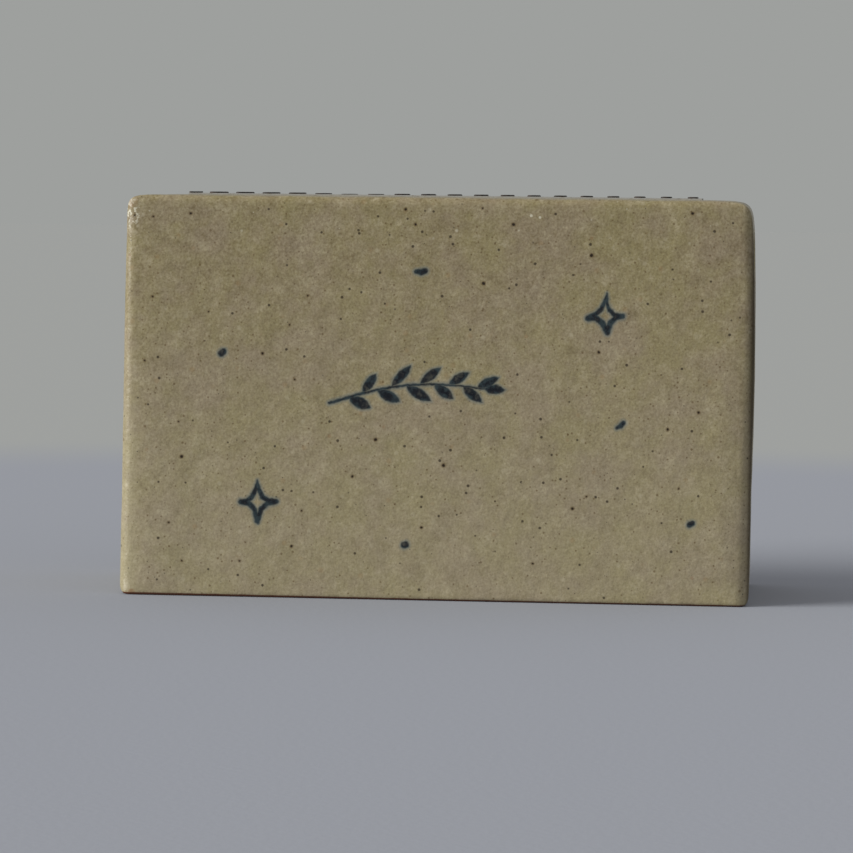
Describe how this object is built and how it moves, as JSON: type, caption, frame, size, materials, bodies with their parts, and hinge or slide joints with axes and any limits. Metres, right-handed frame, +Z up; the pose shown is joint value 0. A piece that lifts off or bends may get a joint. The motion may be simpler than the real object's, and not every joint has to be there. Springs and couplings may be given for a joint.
{
  "type": "ceramic matchbox",
  "caption": "Slab-built speckled stoneware matchbox: a sleeve open at both ends, a tray that slides out either way, a striking strip on top and wooden matches inside.",
  "frame": {"origin": "middle of the footprint, on the surface the box stands on", "axes": "+X along the box to the painted face's right, +Y from the painted face to the back, +Z up"},
  "size_m": [0.0689, 0.026, 0.044],
  "materials": {
    "glazed_stoneware": "satin",
    "tray_stoneware": "matte",
    "adhesive": "satin",
    "strip_paper": "matte",
    "striking_compound": "matte",
    "splint_wood": "matte",
    "head_compound": "matte"
  },
  "bodies": {
    "sleeve": {"sleeve": "glazed_stoneware", "striker_adhesive": "adhesive", "striker_paper": "strip_paper", "striker_coating": "striking_compound"},
    "tray": {"tray": "tray_stoneware", "match_splint_01": "splint_wood", "match_splint_02": "splint_wood", "match_splint_03": "splint_wood", "match_splint_04": "splint_wood", "match_splint_05": "splint_wood", "match_splint_06": "splint_wood", "match_splint_07": "splint_wood", "match_splint_08": "splint_wood", "match_splint_09": "splint_wood", "match_splint_10": "splint_wood", "match_splint_11": "splint_wood", "match_splint_12": "splint_wood", "match_splint_13": "splint_wood", "match_splint_14": "splint_wood", "match_splint_15": "splint_wood", "match_splint_16": "splint_wood", "match_splint_17": "splint_wood", "match_splint_18": "splint_wood", "match_splint_19": "splint_wood", "match_splint_20": "splint_wood", "match_splint_21": "splint_wood", "match_splint_22": "splint_wood", "match_splint_23": "splint_wood", "match_splint_24": "splint_wood", "match_head_01": "head_compound", "match_head_02": "head_compound", "match_head_03": "head_compound", "match_head_04": "head_compound", "match_head_05": "head_compound", "match_head_06": "head_compound", "match_head_07": "head_compound", "match_head_08": "head_compound", "match_head_09": "head_compound", "match_head_10": "head_compound", "match_head_11": "head_compound", "match_head_12": "head_compound", "match_head_13": "head_compound", "match_head_14": "head_compound", "match_head_15": "head_compound", "match_head_16": "head_compound", "match_head_17": "head_compound", "match_head_18": "head_compound", "match_head_19": "head_compound", "match_head_20": "head_compound", "match_head_21": "head_compound", "match_head_22": "head_compound", "match_head_23": "head_compound", "match_head_24": "head_compound"}
  },
  "joints": [
    {"name": "tray_slide", "type": "slide", "parent": "sleeve", "child": "tray", "axis": [1, 0, 0], "range_m": [-0.045, 0.045]}
  ]
}
